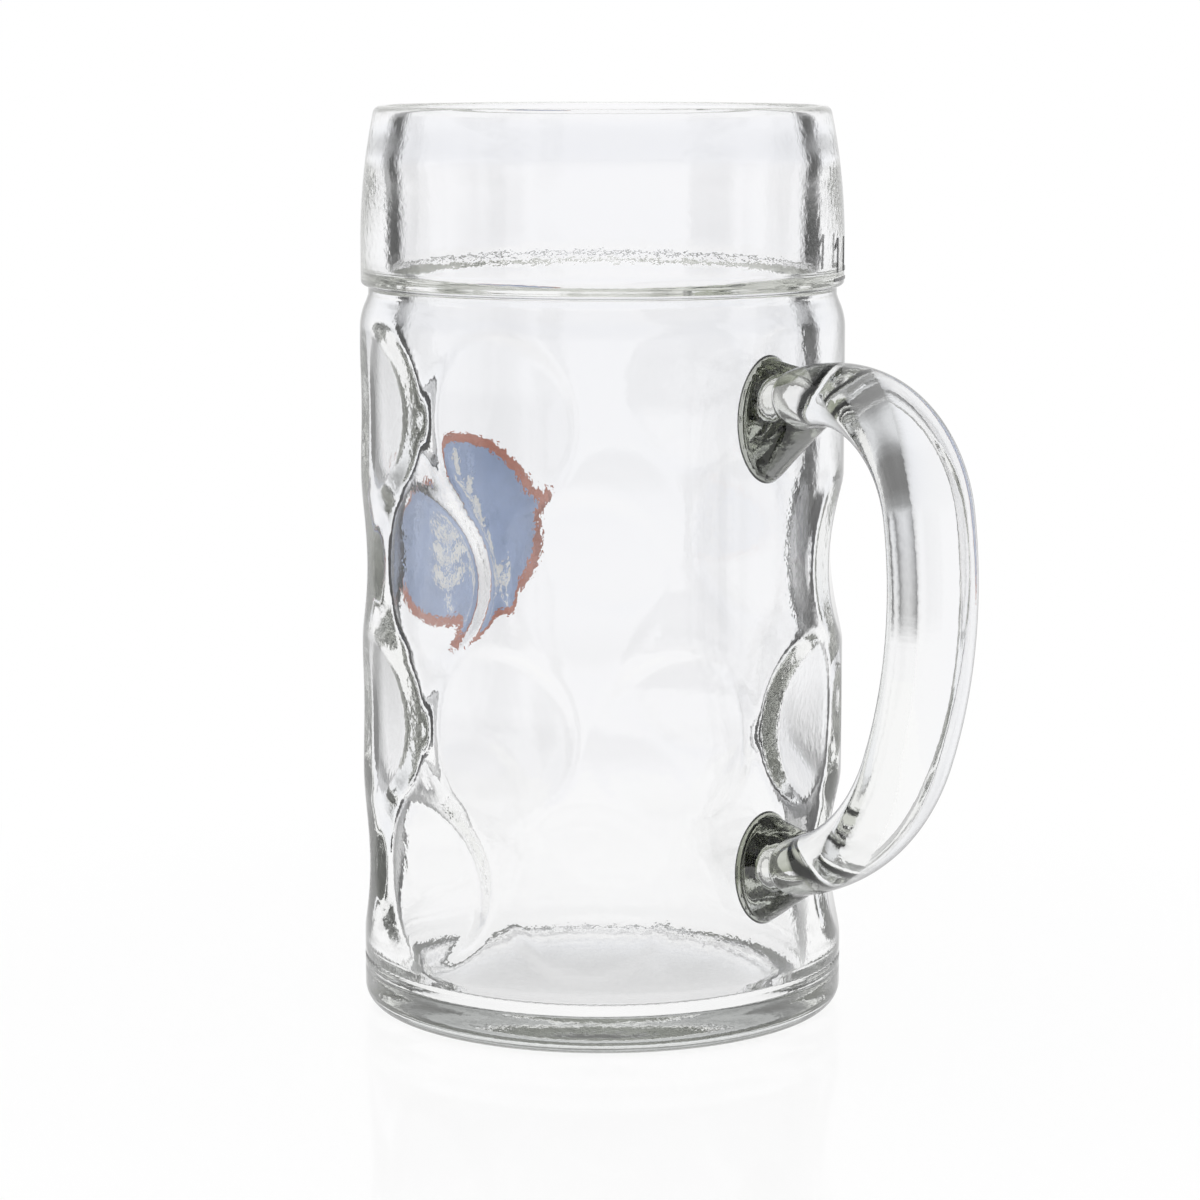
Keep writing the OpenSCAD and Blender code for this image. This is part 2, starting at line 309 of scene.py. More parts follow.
def finish_piece(piece, material, slot, *nodes):
    """Smooth shading, material, and the piece's place in the frame. Fused faces take the seam's glass."""
    deselect_all()
    piece.select_set(True)
    bpy.context.view_layer.objects.active = piece
    bpy.ops.object.shade_smooth()
    piece.data.materials.clear()
    piece.data.materials.append(material)
    if "seam" in piece.data.attributes:
        piece.data.materials.append(seam_glass(bpy.context.scene.mug.look))
        for polygon, mark in zip(piece.data.polygons, piece.data.attributes["seam"].data):
            polygon.material_index = int(mark.value)
        piece.data.attributes.remove(piece.data.attributes["seam"])
    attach(piece, "root")
    if nodes:
        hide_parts(*nodes)
    return piece


def mark_seam(piece, fused):
    """Marks the faces that are fused to another piece, so that light passes them unbent."""
    marks = piece.data.attributes.new("seam", "INT", "FACE")
    for polygon, mark in zip(piece.data.polygons, marks.data):
        mark.value = int(fused(polygon))


def ring_loft(name, rings):
    """A closed skin through rings of points, extruded from one ring to the next."""
    deselect_all()
    sides = len(rings[0])
    bpy.ops.mesh.primitive_circle_add(vertices=sides, radius=0.01, fill_type="NOTHING")
    piece = start_piece(name)
    edit_all()
    for _ in rings[1:]:
        bpy.ops.mesh.extrude_edges_move()
    bpy.ops.mesh.edge_face_add()
    bpy.ops.object.mode_set(mode="OBJECT")
    write_points(piece, np.array(rings, float).reshape(-1, 3))
    for edge in piece.data.edges:
        edge.select = max(edge.vertices) < sides
    for polygon in piece.data.polygons:
        polygon.select = False
    for vertex in piece.data.vertices:
        vertex.select = vertex.index < sides
    bpy.ops.object.mode_set(mode="EDIT")
    bpy.ops.mesh.select_mode(type="EDGE")
    bpy.ops.mesh.edge_face_add()
    close_skin(1e-6)
    return piece


# Jar

def outer_outline(jar):
    """Half of the jar's outside, from the middle of its underside to the lip, as radius and height."""
    r = jar.radius
    foot_in = r - jar.heel - jar.foot_ring
    under_r = arc_radius(foot_in, jar.push_up)
    band_r = r - jar.band_inset
    band_z = jar.height - jar.band
    band_mid = band_z + jar.band_foot
    lip_z = jar.height - jar.lip
    lip_r = band_r - jar.band_draw_in - jar.lip
    groove_r = r - jar.groove_depth
    shoulder_z = band_z - jar.groove_height - jar.shoulder
    shoulder_r = arc_radius(jar.shoulder, jar.groove_depth)
    band_r_arc = arc_radius(lip_z - band_mid, jar.band_draw_in)
    line = jar.mould_line
    points = [(0, jar.push_up)]
    under_turn = math.degrees(math.asin(foot_in / under_r))
    points += arc((0, jar.push_up - under_r), under_r, 90, 90 - under_turn, 10)
    points += straight(points[-1], (r - jar.heel, 0), 3 * MM)
    points += arc((r - jar.heel, jar.heel), jar.heel, -90, 0, 10)
    points += straight(points[-1], (r, line - jar.mould_line_half), 1.2 * MM)
    points += [(r - jar.mould_line_depth, line), (r, line + jar.mould_line_half)]
    points += [(r, line + jar.dots + rise) for rise in (-jar.dot_half, 0, jar.dot_half)]
    points += straight(points[-1], (r, shoulder_z), 1.4 * MM)
    shoulder_turn = math.degrees(math.asin(jar.shoulder / shoulder_r))
    points += arc((r - shoulder_r, shoulder_z), shoulder_r, 0, shoulder_turn - 4, 8)
    corner = jar.groove_corner
    points += arc((groove_r + corner, band_z - jar.groove_height + corner), corner, 210, 180, 3)
    points += straight(points[-1], (groove_r, band_z - corner), 1 * MM)
    points += arc((groove_r + corner, band_z - corner), corner, 180, 90, 4)[:-1]
    edge = jar.band_edge
    points += arc((band_r - edge, band_z + edge), edge, -100, 0, 8)
    points += straight(points[-1], (band_r, band_mid), 2 * MM)
    top_turn = math.degrees(math.asin((lip_z - band_mid) / band_r_arc))
    points += arc((band_r - band_r_arc, band_mid), band_r_arc, 0, top_turn, 16)
    points += arc((lip_r, lip_z), jar.lip, top_turn / 2, 180, 14)
    return points


def inner_outline(jar):
    """Half of the inside, from the lip to the middle of the floor."""
    inside_r = jar.radius - jar.wall
    band_r = jar.radius - jar.band_inset
    band_in = band_r - jar.band_wall
    band_z = jar.height - jar.band
    lip_in = band_r - jar.band_draw_in - 2 * jar.lip
    neck_r = jar.radius - jar.groove_depth - jar.wall
    fillet = jar.floor_fillet
    lip_z = jar.height - jar.lip
    swell_r = band_in + jar.band_swell
    points = curved((lip_in, lip_z), (swell_r, lip_z - jar.band_swell_drop), 8, eased)
    points += straight(points[-1], (band_in, band_z + jar.band_step), 2.5 * MM)
    points += curved(points[-1], (neck_r, band_z), 10, drawn_in)
    points += straight(points[-1], (neck_r, band_z - jar.groove_height), 1 * MM)
    points += curved(points[-1], (inside_r, band_z - jar.groove_height - jar.shoulder), 8, eased)
    points += straight(points[-1], (inside_r, jar.floor + fillet), 1.6 * MM)
    points += arc((inside_r - fillet, jar.floor + fillet), fillet, 0, -90, 12)
    dome_edge = jar.radius - jar.heel - jar.foot_ring
    dome_r = arc_radius(dome_edge, jar.push_up)
    dome_turn = math.degrees(math.acos(dome_edge / dome_r))
    points += straight(points[-1], (dome_edge, jar.floor), 4 * MM)
    points += arc((0, jar.floor + jar.push_up - dome_r), dome_r, dome_turn, 90, 12)
    return points


def angle_apart(a, b):
    """The turn from b to a, the short way round."""
    return (a - b + math.pi) % TURN - math.pi


def hollow_places(settings):
    """Angle and height of each hollow. None is pressed where it would reach a root or the badge."""
    jar, hollow, handle = settings.jar, settings.hollow, settings.handle
    badge_low, badge_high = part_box("badge_rim")
    badge_z = (badge_low.z + badge_high.z) / 2
    badge_reach = (badge_high.z - badge_low.z) / 2 + hollow.height / 2
    kept_plain = [
        (0, handle.upper_root, hollow.root_reach),
        (0, handle.lower_root, hollow.root_reach),
        (math.pi, badge_z, badge_reach),
    ]
    places = []
    for row in range(hollow.rows):
        for column in range(hollow.columns):
            angle = (column + (row % 2) / 2) * TURN / hollow.columns
            z = hollow.first_row + row * hollow.row_pitch
            if all(
                math.hypot(angle_apart(angle, a) * jar.radius, z - at) >= reach
                for a, at, reach in kept_plain
            ):
                places.append((angle, z))
    return places


# How far a die reaches round the wall, and up or down it as a share of the die's radius
DIE_TURN = math.radians(50)
DIE_RISE = 0.6
# Heights closer than this are the same ring of points
SAME_RING = 0.1 * MM
# Radii below this are on the axis
ON_AXIS = 1e-9


def press_hollows(piece, settings):
    """Brings each hollow's die in to the wall: a hollow outside and a bulge inside of the same wall."""
    jar, hollow = settings.jar, settings.hollow
    points = read_points(piece)
    radius = np.hypot(points[:, 0], points[:, 1])
    angle = np.arctan2(points[:, 1], points[:, 0])
    z = points[:, 2]
    die_r = arc_radius(hollow.height / 2, hollow.depth)
    middle_r = jar.radius - jar.wall / 2
    wall_foot = jar.heel + 1 * MM
    outside = (radius > middle_r) & (z > wall_foot) & (z < jar.height - jar.band)
    inside = (radius < middle_r) & (radius > middle_r - 2 * jar.wall) & (z > jar.floor + 1 * MM)
    inside &= z < jar.height - jar.band + jar.band_foot
    pressed = radius.copy()
    for chosen, back in ((outside, 0), (inside, jar.wall)):
        tip = jar.radius - hollow.depth - back
        face_r = die_r + back
        found = pressed[chosen]
        for at, at_z in hollow_places(settings):
            rise = z[chosen] - at_z
            turn = angle_apart(angle[chosen], at)
            reached = (np.abs(turn) < DIE_TURN) & (np.abs(rise) < DIE_RISE * face_r)
            depth = tip + face_r - np.sqrt(face_r ** 2 - rise[reached] ** 2)
            face = depth / np.cos(turn[reached])
            found[reached] = smooth_least(found[reached], face, hollow.rim_blend)
        pressed[chosen] = found
    column = np.rint(angle / TURN * MUG_OT_jar.turn_steps).astype(int)
    dotted = outside & (np.abs(z - jar.mould_line - jar.dots) < SAME_RING) & (column % 2 == 0)
    pressed[dotted] -= jar.dot_depth
    scale = np.where(radius > ON_AXIS, pressed / np.maximum(radius, ON_AXIS), 1)
    points[:, 0] *= scale
    points[:, 1] *= scale
    write_points(piece, points)


class MUG_OT_jar(bpy.types.Operator):
    """Spins the jar's outline and presses its hollows"""

    bl_idname = "mug.jar"
    bl_label = "Blow the jar"
    turn_steps = 288

    def execute(self, context):
        settings = context.scene.mug
        outline = outer_outline(settings.jar) + inner_outline(settings.jar)
        deselect_all()
        bpy.ops.mesh.primitive_plane_add(size=1 * MM)
        piece = start_piece("glass_jar")
        edit_all()
        bpy.ops.mesh.merge(type="CENTER")
        first = outline[0]
        bpy.ops.transform.translate(value=(first[0], 0, first[1]))
        for before, after in zip(outline, outline[1:]):
            step = (after[0] - before[0], 0, after[1] - before[1])
            bpy.ops.mesh.extrude_region_move(TRANSFORM_OT_translate={"value": step})
        bpy.ops.mesh.select_all(action="SELECT")
        bpy.ops.mesh.spin(steps=self.turn_steps, angle=TURN, center=(0, 0, 0), axis=(0, 0, 1))
        close_skin(2e-5)
        press_hollows(piece, settings)
        self.mark_seats(piece, settings)
        finish_piece(piece, jar_glass(settings.look), "clear_glass", "jar")
        return {"FINISHED"}

    def mark_seats(self, piece, settings):
        """The wall under each root is fused to it."""
        handle = settings.handle
        reach = handle.flare - handle.seat_margin
        half_w = handle.root_width / 2 + reach
        points = read_points(piece)
        under = np.zeros(len(points), bool)
        for z, height in (
            (handle.upper_root, handle.upper_root_height),
            (handle.lower_root, handle.lower_root_height),
        ):
            half_h = height / 2 + reach
            under |= (points[:, 1] / half_w) ** 2 + ((points[:, 2] - z) / half_h) ** 2 < 1
        under &= points[:, 0] > settings.jar.radius - settings.jar.wall / 2
        mark_seam(piece, lambda polygon: all(under[v] for v in polygon.vertices))


# Handle

def bow_arcs(settings):
    """The three arcs of the bow from its upper end: middle, radius, first and last angle in degrees."""
    handle = settings.handle
    end_x = settings.jar.radius + handle.root_length
    up, low = handle.upper_rise, handle.lower_rise
    upper = (
        end_x + handle.upper_bend * math.sin(up),
        handle.upper_end - handle.upper_bend * math.cos(up),
    )
    lower = (
        end_x - handle.lower_bend * math.sin(low),
        handle.lower_end + handle.lower_bend * math.cos(low),
    )
    back = circles_meet(upper, handle.back - handle.upper_bend, lower, handle.back - handle.lower_bend)
    upper_turn = math.degrees(math.atan2(upper[1] - back[1], upper[0] - back[0]))
    lower_turn = math.degrees(math.atan2(lower[1] - back[1], lower[0] - back[0]))
    return [
        (upper, handle.upper_bend, 90 + math.degrees(up), upper_turn),
        (back, handle.back, upper_turn, lower_turn),
        (lower, handle.lower_bend, lower_turn, math.degrees(low) - 90),
    ]


def circles_meet(a, ra, b, rb):
    """The point on the jar's side that lies ra from a and rb from b."""
    d = math.dist(a, b)
    ux, uz = (b[0] - a[0]) / d, (b[1] - a[1]) / d
    along = (d * d + ra * ra - rb * rb) / (2 * d)
    off = math.sqrt(ra * ra - along * along)
    return (a[0] + along * ux + off * uz, a[1] + along * uz - off * ux)


# Sides of the grip's oval, and the turn in degrees from one ring of the bow to the next
GRIP_SIDES = 72
RING_TURN = 1.8


def grip_oval(handle, inset):
    """The grip's section, drawn in by an inset, as thickness and width."""
    power = 2 / handle.grip_fullness
    inset += handle.grip_ease
    points = []
    for k in range(GRIP_SIDES):
        a = TURN * k / GRIP_SIDES
        c, s = math.cos(a), math.sin(a)
        points.append((
            (handle.grip_thickness / 2 - inset) * math.copysign(abs(c) ** power, c),
            (handle.grip_width / 2 - inset) * math.copysign(abs(s) ** power, s),
        ))
    return points


def bow_ring(handle, middle, radius, angle, inset):
    """The grip's section where an arc stands at an angle, in degrees."""
    c, s = math.cos(math.radians(angle)), math.sin(math.radians(angle))
    return [
        (middle[0] + (radius + t) * c, w, middle[1] + (radius + t) * s)
        for t, w in grip_oval(handle, inset)
    ]


def rounded_end(handle, middle, radius, angle, way):
    """Rings of a quarter round at an end of the bow, from its flat face on along the bow."""
    rings = []
    steps = 6
    for k in range(steps):
        part = math.radians(90 * k / steps)
        along = handle.bow_edge * (1 - math.cos(part))
        inset = handle.bow_edge * (1 - math.sin(part))
        rings.append(bow_ring(handle, middle, radius, angle + way * math.degrees(along / radius), inset))
    return rings


class MUG_OT_bow(bpy.types.Operator):
    """Spins the grip's oval along the bow's three arcs"""

    bl_idname = "mug.bow"
    bl_label = "Bend the bow"

    def execute(self, context):
        settings = context.scene.mug
        handle = settings.handle
        arcs = bow_arcs(settings)
        rings = rounded_end(handle, *arcs[0][:3], -1)
        for i, (middle, radius, start, end) in enumerate(arcs):
            if i == 0:
                start -= math.degrees(handle.bow_edge / radius)
            if i == len(arcs) - 1:
                end += math.degrees(handle.bow_edge / radius)
            steps = math.ceil((start - end) / RING_TURN)
            for k in range(0 if i == 0 else 1, steps + 1):
                rings.append(bow_ring(handle, middle, radius, start + (end - start) * k / steps, 0))
        middle, radius, _, end = arcs[-1]
        rings += reversed(rounded_end(handle, middle, radius, end, 1))
        piece = ring_loft("glass_handle_bow", rings)
        mark_seam(piece, lambda polygon: len(polygon.vertices) > 4)
        finish_piece(piece, bow_glass(settings.look), "clear_glass", "handle_bow")
        return {"FINISHED"}


class MUG_OT_roots(bpy.types.Operator):
    """Lofts the two roots between the wall and the bow"""

    bl_idname = "mug.roots"
    bl_label = "Fuse the roots"

    def execute(self, context):
        settings = context.scene.mug
        handle = settings.handle
        arcs = bow_arcs(settings)
        upper_end = (*arcs[0][:3], -1)
        lower_end = (*arcs[2][:2], arcs[2][3], 1)
        for name, node, z, height, end in (
            ("glass_upper_root", "upper_handle_root", handle.upper_root, handle.upper_root_height, upper_end),
            ("glass_lower_root", "lower_handle_root", handle.lower_root, handle.lower_root_height, lower_end),
        ):
            piece = ring_loft(name, root_rings(settings, z, height, *end))
            points = read_points(piece)
            on_wall = np.hypot(points[:, 0], points[:, 1]) < settings.jar.radius

            def is_fused(polygon):
                corners = polygon.vertices
                return len(corners) > 4 or all(on_wall[v] for v in corners)

            mark_seam(piece, is_fused)
            finish_piece(piece, root_glass(settings.look), "root_glass", node)
        return {"FINISHED"}


def root_rings(settings, z, waist_height, middle, radius, angle, way):
    """Rings of a root: straight from the bow's end to its waist, round on to the wall, and over its seat."""
    jar, handle = settings.jar, settings.handle
    lapped = angle + way * math.degrees(handle.lap / radius)
    end = np.array(bow_ring(handle, middle, radius, lapped, handle.bow_edge))
    rise = end[:, 2] - end[:, 2].mean()
    turn = np.arctan2(end[:, 1] / handle.grip_width, rise / handle.grip_thickness)
    seat_r = jar.radius - handle.lap

    def on_wall(half_w, half_h, height):
        y = half_w * np.sin(turn)
        x = np.sqrt((seat_r + height) ** 2 - y * y)
        return np.stack([x, y, z + half_h * np.cos(turn)], axis=1)

    half_w, half_h, flare = handle.root_width / 2, waist_height / 2, handle.flare
    waist = on_wall(half_w, half_h, handle.flare_height)
    rings = []
    stem_steps = 12
    for k in range(stem_steps):
        rings.append(end + (waist - end) * k / stem_steps)
    steps = 8
    for k in range(steps + 1):
        part = math.radians(90 * k / steps)
        spread = flare * (1 - math.cos(part))
        height = handle.flare_height * (1 - math.sin(part))
        rings.append(on_wall(half_w + spread, half_h + spread, height))
    for k in range(1, steps + 1):
        share = 1 - k / steps
        rings.append(on_wall((half_w + flare) * share, (half_h + flare) * share, 0))
    return rings


# Enamel

def lifted_copy(node, name, lift):
    """A copy of a CAD node whose inner face clears the facets of the glass."""
    deselect_all()
    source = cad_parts[node]
    piece = source.copy()
    piece.data = source.data.copy()
    piece.parent = None
    for key in list(piece.keys()):
        del piece[key]
    piece.name = name
    piece.data.name = name
    bpy.context.scene.collection.objects.link(piece)
    piece.select_set(True)
    bpy.context.view_layer.objects.active = piece
    edit_all()
    bpy.ops.mesh.remove_doubles(threshold=1e-7)
    bpy.ops.object.mode_set(mode="OBJECT")
    points = read_points(piece)
    radius = np.hypot(points[:, 0], points[:, 1])
    middle = (radius.min() + radius.max()) / 2
    moved = np.where(radius < middle, radius + lift, radius)
    points[:, 0] *= moved / radius
    points[:, 1] *= moved / radius
    write_points(piece, points)
    bpy.ops.object.mode_set(mode="EDIT")
    bpy.ops.mesh.select_mode(type="EDGE")
    bpy.ops.mesh.select_all(action="DESELECT")
    bpy.ops.mesh.edges_select_sharp(sharpness=math.radians(40))
    bpy.ops.mesh.mark_sharp()
    bpy.ops.object.mode_set(mode="OBJECT")
    return piece


class MUG_OT_badge(bpy.types.Operator):
    """Fires the badge's three enamels on to the wall"""

    bl_idname = "mug.badge"
    bl_label = "Fire the badge"

    def execute(self, context):
        settings = context.scene.mug
        look = settings.look
        for node, name, slot, colour in (
            ("badge_rim", "enamel_badge_rim", "red_enamel", look.red),
            ("badge_field", "enamel_badge_field", "blue_enamel", look.blue),
            ("badge_barley_ear", "enamel_barley_ear", "white_enamel", look.white),
        ):
            piece = lifted_copy(node, name, settings.mark.lift)
            finish_piece(piece, enamel("fired_" + slot, colour), slot, node)
        return {"FINISHED"}


class MUG_OT_litre_mark(bpy.types.Operator):
    """Fires the litre line and its figures on to the band"""

    bl_idname = "mug.litre_mark"
    bl_label = "Fire the litre mark"

    def execute(self, context):
        settings = context.scene.mug
        black = enamel("fired_black_enamel", settings.look.black)
        line = lifted_copy("fill_line", "enamel_litre_line", settings.mark.lift)
        finish_piece(line, black, "black_enamel", "fill_line")
        figures = litre_figures(settings)
        finish_piece(figures, black, "black_enamel")
        return {"FINISHED"}


def shape_flag(piece):
    """Makes the plane added last the flag of the figure 1, which the font draws as a plain bar."""
    points = read_points(piece)
    letters = points[:-4]
    across = np.unique(letters[:, 0].round(4))
    left = across[0]
    stroke = across[1] - left
    top = letters[:, 1].max()
    tip = left - 1.9 * stroke
    tip_top = top - 1.5 * stroke
    lap = left + 0.05 * stroke
    lap_foot = top - 1.2 * stroke
    points[-4:] = [(tip, tip_top - stroke, 0), (lap, lap_foot, 0), (tip, tip_top, 0), (lap, top, 0)]
    write_points(piece, points)


def litre_figures(settings):
    """Figures over the litre line, set flat and then wrapped on to the band."""
    jar, mark = settings.jar, settings.mark
    deselect_all()
    bpy.ops.object.text_add()
    bpy.context.object.data.body = "1 L"
    bpy.ops.object.convert(target="MESH")
    piece = start_piece("enamel_litre_figures")
    edit_all()
    bpy.ops.mesh.remove_doubles(threshold=1e-4)
    bpy.ops.mesh.primitive_plane_add(size=1)
    bpy.ops.object.mode_set(mode="OBJECT")
    shape_flag(piece)
    edit_all()
    bpy.ops.mesh.extrude_region_move(TRANSFORM_OT_translate={"value": (0, 0, 1)})
    bpy.ops.mesh.select_all(action="SELECT")
    bpy.ops.mesh.normals_make_consistent(inside=False)
    bpy.ops.object.mode_set(mode="OBJECT")
    points = read_points(piece)
    low, high = points.min(axis=0), points.max(axis=0)
    scale = mark.figure_height / (high[1] - low[1])
    band_r = jar.radius - jar.band_inset
    around = mark.angle + (points[:, 0] - (low[0] + high[0]) / 2) * scale / band_r
    radius = band_r + np.where(points[:, 2] > 0.5, mark.thickness, mark.lift)
    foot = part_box("fill_line")[1].z + mark.figure_rise
    wrapped = np.stack([
        radius * np.cos(around),
        radius * np.sin(around),
        foot + (points[:, 1] - low[1]) * scale,
    ], axis=1)
    write_points(piece, wrapped)
    return piece


# Materials

class Wiring:
    """Adds nodes to a tree. A value is a socket to link or a constant."""

    def __init__(self, tree):
        self.nodes = tree.nodes
        self.links = tree.links

    def fill(self, node, values):
        """Gives inputs of a node their values."""
        for label, value in values.items():
            if hasattr(value, "is_linked"):
                self.links.new(value, node.inputs[label])
            else:
                node.inputs[label].default_value = value

    def add(self, kind, values=None, **options):
        """A new shader node of a kind, with its options and the values of its inputs."""
        node = self.nodes.new("ShaderNode" + kind)
        for name, option in options.items():
            setattr(node, name, option)
        self.fill(node, values or {})
        return node

    def calculate(self, operation, first, second=0, third=0):
        """The result of a Math node."""
        return self.add("Math", {0: first, 1: second, 2: third}, operation=operation).outputs[0]

    def product(self, first, *others):
        """All the values multiplied."""
        for other in others:
            first = self.calculate("MULTIPLY", first, other)
        return first

    def between(self, share, start, end):
        """start where share is 0, end where it is 1."""
        return self.calculate("MULTIPLY_ADD", share, self.calculate("SUBTRACT", end, start), start)

    def ramp(self, value, low, high):
        """Rises smoothly from 0 at low to 1 at high."""
        values = {"Value": value, "From Min": low, "From Max": high}
        return self.add("MapRange", values, interpolation_type="SMOOTHSTEP").outputs["Result"]

    def axes(self, kind, label):
        """X, Y and Z of an output of a new node."""
        vector = self.add(kind).outputs[label]
        return tuple(self.add("SeparateXYZ", {"Vector": vector}).outputs)

    def noise(self, scale, detail):
        """Noise from -0.5 to 0.5 on the piece's own coordinates."""
        place = self.add("TexCoord").outputs["Object"]
        texture = self.add("TexNoise", {"Vector": place, "Scale": scale, "Detail": detail})
        return self.calculate("SUBTRACT", texture.outputs["Fac"], 0.5)

    def colour(self, share, first, second):
        """A colour between two others."""
        return self.add("Mix", {"Factor": share, 6: first, 7: second}, data_type="RGBA").outputs[2]

    def bump(self, height):
        """A normal that follows a height in metres."""
        return self.add("Bump", {"Distance": 1, "Height": height}).outputs["Normal"]


NUMBER = "NodeSocketFloat"
COLOUR = "NodeSocketColor"
RIPPLE_INPUTS = ("Fine Scale", "Fine Height", "Broad Scale", "Broad Height")


def new_group(name, inputs, outputs):
    """A shader node group with named sockets: its tree, wiring, what it is given and its last node."""
    tree = bpy.data.node_groups.new(name, "ShaderNodeTree")
    for way, sockets in (("INPUT", inputs), ("OUTPUT", outputs)):
        for label, kind in sockets.items():
            tree.interface.new_socket(label, in_out=way, socket_type=kind)
    given = tree.nodes.new("NodeGroupInput").outputs
    return tree, Wiring(tree), given, tree.nodes.new("NodeGroupOutput")


def new_material(name):
    """A material, its wiring and its shader."""
    material = bpy.data.materials.new(name)
    material.use_nodes = True
    wiring = Wiring(material.node_tree)
    return material, wiring, wiring.nodes["Principled BSDF"]


def mould_ripple():
    """Group: the uneven skin that a mould leaves on glass, as a height in metres."""
    tree = bpy.data.node_groups.get("mould_ripple")
    if tree:
        return tree
    inputs = dict.fromkeys(RIPPLE_INPUTS, NUMBER)
    tree, wiring, given, end = new_group("mould_ripple", inputs, {"Height": NUMBER})
    fine = wiring.noise(given["Fine Scale"], 2)
    broad = wiring.noise(given["Broad Scale"], 1)
    height = wiring.product(fine, given["Fine Height"])
    height = wiring.calculate("MULTIPLY_ADD", broad, given["Broad Height"], height)
    wiring.fill(end, {"Height": height})
    return tree


# Radius between the jar's inner skin and its outer one
SKIN_RADIUS = 49.6 * MM
# Upward tilt of the skin from which it counts as lying, and at which it does so fully
LYING_TILT = (0.2, 0.5)
# Shares of the ripple that the inside lacks, and that its floor lacks besides
INNER_SMOOTHNESS = 0.5
FLOOR_SMOOTHNESS = 0.4
# Facing from which the painted edge shade begins, and at which it is darkest
WALL_OUTSIDE = (0.66, 0.88)
WALL_INSIDE = (0.62, 0.74)
BAND_OUTSIDE = (0.82, 0.96)
BAND_INSIDE = (0.57, 0.67)


def skin_masks(wiring):
    """Three masks: the jar's inner skin, what of it lies flat such as the floor, and the band."""
    x, y, z = wiring.axes("TexCoord", "Object")
    square = wiring.calculate("MULTIPLY_ADD", x, x, wiring.product(y, y))
    inner = wiring.calculate("LESS_THAN", square, SKIN_RADIUS ** 2)
    tilt = wiring.axes("NewGeometry", "Normal")[2]
    lying = wiring.ramp(wiring.calculate("ABSOLUTE", tilt), *LYING_TILT)
    flat = wiring.product(inner, lying)
    band = wiring.calculate("GREATER_THAN", z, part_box("fill_line")[0].z)
    return inner, flat, band


def painted_grazing_shade(wiring, normal, colour, look, inner, flat, band):
    """Paints shade on the upright glass where it is seen at grazing angles, at facings that differ by skin
    and by part.
    """
    limits = []
    for wall_out, wall_in, band_out, band_in in zip(WALL_OUTSIDE, WALL_INSIDE, BAND_OUTSIDE, BAND_INSIDE):
        wall = wiring.between(inner, wall_out, wall_in)
        rim = wiring.between(inner, band_out, band_in)
        limits.append(wiring.between(band, wall, rim))
    facing = wiring.add("LayerWeight", {"Normal": normal}).outputs["Facing"]
    upright = wiring.calculate("SUBTRACT", 1, flat)
    scattered = wiring.add("LightPath").outputs["Diffuse Depth"]
    seen = wiring.calculate("LESS_THAN", scattered, 0.5)
    # Painted shade: the colour darkens toward grazing facings, except on paths that have bounced off a
    # diffuse surface
    share = wiring.product(wiring.ramp(facing, *limits), upright, seen)
    return wiring.colour(share, (*colour, 1), (*look.painted_edge_shade, 1))


def glass(name, colour, look, density, ripple, ior):
    """Clear glass with a rippled skin, which takes a little from long paths, and whose colour has painted
    shade at grazing angles.
    """
    material = bpy.data.materials.get(name)
    if material:
        return material
    material, wiring, shader = new_material(name)
    inner, flat, band = skin_masks(wiring)
    smooth = wiring.product(inner, INNER_SMOOTHNESS)
    smooth = wiring.calculate("MULTIPLY_ADD", flat, FLOOR_SMOOTHNESS, smooth)
    skin = wiring.add("Group", dict(zip(RIPPLE_INPUTS, ripple)), node_tree=mould_ripple())
    rippled = wiring.calculate("SUBTRACT", 1, smooth)
    normal = wiring.bump(wiring.product(skin.outputs["Height"], rippled))
    # Base colour: the glass's tint with painted shade at grazing angles
    tint_and_painted_edge_shade = painted_grazing_shade(wiring, normal, colour, look, inner, flat, band)
    wiring.fill(shader, {"Roughness": 0, "IOR": ior, "Transmission Weight": 1})
    wiring.fill(shader, {"Normal": normal, "Base Color": tint_and_painted_edge_shade})
    depth = wiring.add("VolumeAbsorption", {"Color": (*look.absorbed, 1), "Density": density})
    wiring.fill(wiring.nodes["Material Output"], {"Volume": depth.outputs["Volume"]})
    return material


def jar_glass(look):
    """The jar's glass, a little uneven from the mould."""
    ripple = (650, 3e-5, 70, 4e-5)
    return glass("blown_clear_glass", look.glass_tint, look, look.clear_density, ripple, look.glass_ior)


def bow_glass(look):
    """The bow's glass, with broader waves."""
    ripple = (650, 1.5e-5, 60, 6e-5)
    return glass("pressed_clear_glass", look.glass_tint, look, look.clear_density, ripple, look.glass_ior)


def seam_glass(look):
    """Glass fused to glass, which doesn't bend light."""
    ripple = (650, 1e-5, 70, 1e-5)
    return glass("fused_clear_glass", look.glass_tint, look, look.clear_density, ripple, 1)


def root_glass(look):
    """The roots' thick, wavy glass."""
    ripple = (600, 4e-5, 120, 3e-4)
    return glass("thick_root_glass", look.root_tint, look, look.root_density, ripple, look.glass_ior)


# How much fired enamel varies in tone, its roughness and how much that varies, and its grain in metres
ENAMEL_TONE = 0.3
ENAMEL_ROUGHNESS = 0.3
ENAMEL_ROUGHNESS_SPREAD = 0.3
ENAMEL_GRAIN = 2e-5


